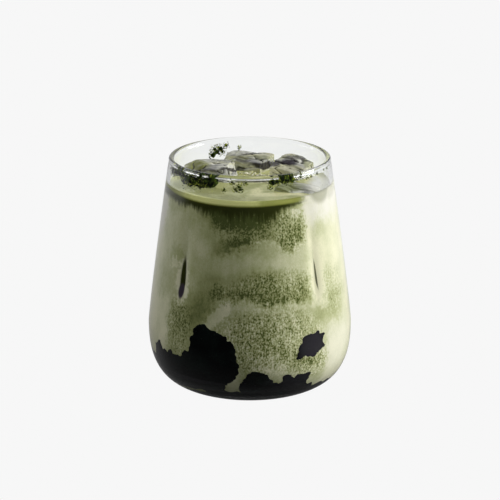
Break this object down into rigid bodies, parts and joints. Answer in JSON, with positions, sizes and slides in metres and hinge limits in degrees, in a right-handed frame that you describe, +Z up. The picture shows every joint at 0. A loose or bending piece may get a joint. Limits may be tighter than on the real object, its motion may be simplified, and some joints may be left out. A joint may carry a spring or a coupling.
{
  "type": "iced mugwort latte in a glass tumbler",
  "caption": "Iced mugwort latte: a pinched stemless glass tumbler of marbled green milk over dark jelly, with melting ice and crusts of mugwort powder under its lip.",
  "frame": {"origin": "centre of the tumbler's foot, on the surface that it stands on", "axes": "+Z up along the tumbler's axis, and -Y towards the side with the tall jelly lump and the loose jelly piece"},
  "size_m": [0.0898, 0.0898, 0.101],
  "materials": {
    "clear_glass": "clear polished soda-lime glass with a fire-polished lip",
    "green_milk": "cream milk marbled with grey-green mugwort, smooth behind the glass",
    "dark_jelly": "near-black wet jelly",
    "wet_ice": "melting clear ice, wet and slightly cloudy"
  },
  "bodies": {
    "root": {"glass_tumbler": "clear_glass", "mugwort_milk": "green_milk", "jelly_bed": "dark_jelly", "jelly_piece": "dark_jelly", "ice_left": "wet_ice", "ice_back": "wet_ice", "ice_side": "wet_ice", "ice_right": "wet_ice"}
  },
  "joints": []
}
